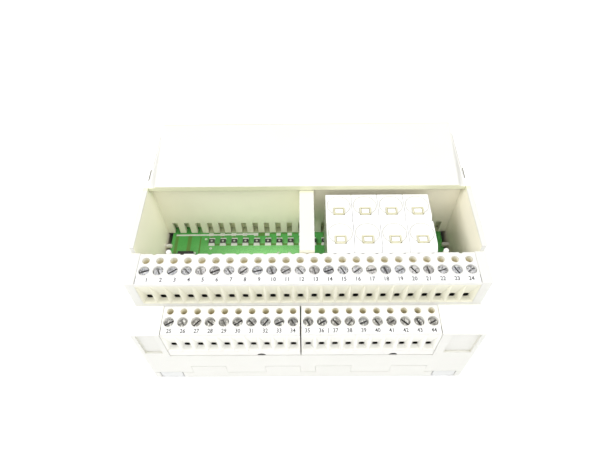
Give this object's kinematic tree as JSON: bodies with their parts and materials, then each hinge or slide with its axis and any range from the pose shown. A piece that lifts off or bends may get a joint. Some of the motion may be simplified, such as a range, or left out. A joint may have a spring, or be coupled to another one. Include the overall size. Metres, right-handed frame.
{
  "type": "plc module",
  "caption": "Stepped housing for a top-hat rail with two tiers of screw terminals, pull-off plugs, an open bay of plug-in relays, and a sloping rear hood.",
  "frame": {"origin": "centre of the footprint on the surface that the rail side rests on", "axes": "+Z away from the rail, +X along the terminal rows to the viewer's right, -Y towards the wiring side with the plugs"},
  "size_m": [0.1294, 0.0844, 0.067],
  "materials": {
    "housing_plastic": "fine moulded, off-white",
    "terminal_plastic": "fine moulded, off-white",
    "relay_plastic": "smooth white",
    "window_plastic": "translucent cream",
    "marker_plastic": "white marking strip",
    "latch_plastic": "light grey",
    "screw_steel": "zinc plated",
    "contact_metal": "tinned copper alloy",
    "board_laminate": "green solder mask over glass laminate",
    "black_plastic": "black moulded",
    "lens_plastic": "clear white lens",
    "socket_plastic": "dark grey moulded",
    "can_aluminium": "satin can",
    "spring_steel": "bright spring strip"
  },
  "bodies": {
    "housing": {"base_tray": "housing_plastic", "main_housing": "housing_plastic", "top_hood": "housing_plastic", "main_board": "board_laminate", "board_screws": "screw_steel", "input_leds": "black_plastic", "led_lenses": "lens_plastic", "interface_chips": "black_plastic", "logic_board": "board_laminate", "board_standoffs": "marker_plastic", "stacking_connector": "black_plastic", "processor_chip": "black_plastic", "supply_capacitors": "can_aluminium", "upper_block_body": "terminal_plastic", "upper_clamp_screws": "screw_steel", "upper_wire_clamps": "screw_steel", "upper_contact_pins": "contact_metal", "upper_marker_strip": "marker_plastic", "left_plug_header": "terminal_plastic", "right_plug_header": "terminal_plastic", "left_header_pins": "contact_metal", "right_header_pins": "contact_metal", "relay_sockets": "socket_plastic", "socket_contacts": "contact_metal", "left_latch_spring": "spring_steel", "right_latch_spring": "spring_steel"},
    "left_plug": {"left_plug_body": "terminal_plastic", "left_plug_screws": "screw_steel", "left_plug_clamps": "screw_steel", "left_plug_marker": "marker_plastic"},
    "right_plug": {"right_plug_body": "terminal_plastic", "right_plug_screws": "screw_steel", "right_plug_clamps": "screw_steel", "right_plug_marker": "marker_plastic"},
    "relay_1": {"relay_1_case": "relay_plastic", "relay_1_base": "socket_plastic", "relay_1_window": "window_plastic"},
    "relay_2": {"relay_2_case": "relay_plastic", "relay_2_base": "socket_plastic", "relay_2_window": "window_plastic"},
    "relay_3": {"relay_3_case": "relay_plastic", "relay_3_base": "socket_plastic", "relay_3_window": "window_plastic"},
    "relay_4": {"relay_4_case": "relay_plastic", "relay_4_base": "socket_plastic", "relay_4_window": "window_plastic"},
    "relay_5": {"relay_5_case": "relay_plastic", "relay_5_base": "socket_plastic", "relay_5_window": "window_plastic"},
    "relay_6": {"relay_6_case": "relay_plastic", "relay_6_base": "socket_plastic", "relay_6_window": "window_plastic"},
    "relay_7": {"relay_7_case": "relay_plastic", "relay_7_base": "socket_plastic", "relay_7_window": "window_plastic"},
    "relay_8": {"relay_8_case": "relay_plastic", "relay_8_base": "socket_plastic", "relay_8_window": "window_plastic"},
    "left_latch": {"left_rail_latch": "latch_plastic"},
    "right_latch": {"right_rail_latch": "latch_plastic"}
  },
  "joints": [
    {"name": "left_plug_pull", "type": "slide", "parent": "housing", "child": "left_plug", "axis": [0, -1, 0], "range_m": [0, 0.026]},
    {"name": "right_plug_pull", "type": "slide", "parent": "housing", "child": "right_plug", "axis": [0, -1, 0], "range_m": [0, 0.026]},
    {"name": "relay_1_pull", "type": "slide", "parent": "housing", "child": "relay_1", "axis": [0, 0, 1], "range_m": [0, 0.035]},
    {"name": "relay_2_pull", "type": "slide", "parent": "housing", "child": "relay_2", "axis": [0, 0, 1], "range_m": [0, 0.035]},
    {"name": "relay_3_pull", "type": "slide", "parent": "housing", "child": "relay_3", "axis": [0, 0, 1], "range_m": [0, 0.035]},
    {"name": "relay_4_pull", "type": "slide", "parent": "housing", "child": "relay_4", "axis": [0, 0, 1], "range_m": [0, 0.035]},
    {"name": "relay_5_pull", "type": "slide", "parent": "housing", "child": "relay_5", "axis": [0, 0, 1], "range_m": [0, 0.035]},
    {"name": "relay_6_pull", "type": "slide", "parent": "housing", "child": "relay_6", "axis": [0, 0, 1], "range_m": [0, 0.035]},
    {"name": "relay_7_pull", "type": "slide", "parent": "housing", "child": "relay_7", "axis": [0, 0, 1], "range_m": [0, 0.035]},
    {"name": "relay_8_pull", "type": "slide", "parent": "housing", "child": "relay_8", "axis": [0, 0, 1], "range_m": [0, 0.035]},
    {"name": "left_latch_slide", "type": "slide", "parent": "housing", "child": "left_latch", "axis": [0, -1, 0], "range_m": [0, 0.004], "stiffness_N_per_m": 1500, "springref_m": -0.0015, "deforming": ["left_latch_spring"]},
    {"name": "right_latch_slide", "type": "slide", "parent": "housing", "child": "right_latch", "axis": [0, -1, 0], "range_m": [0, 0.004], "stiffness_N_per_m": 1500, "springref_m": -0.0015, "deforming": ["right_latch_spring"]}
  ]
}
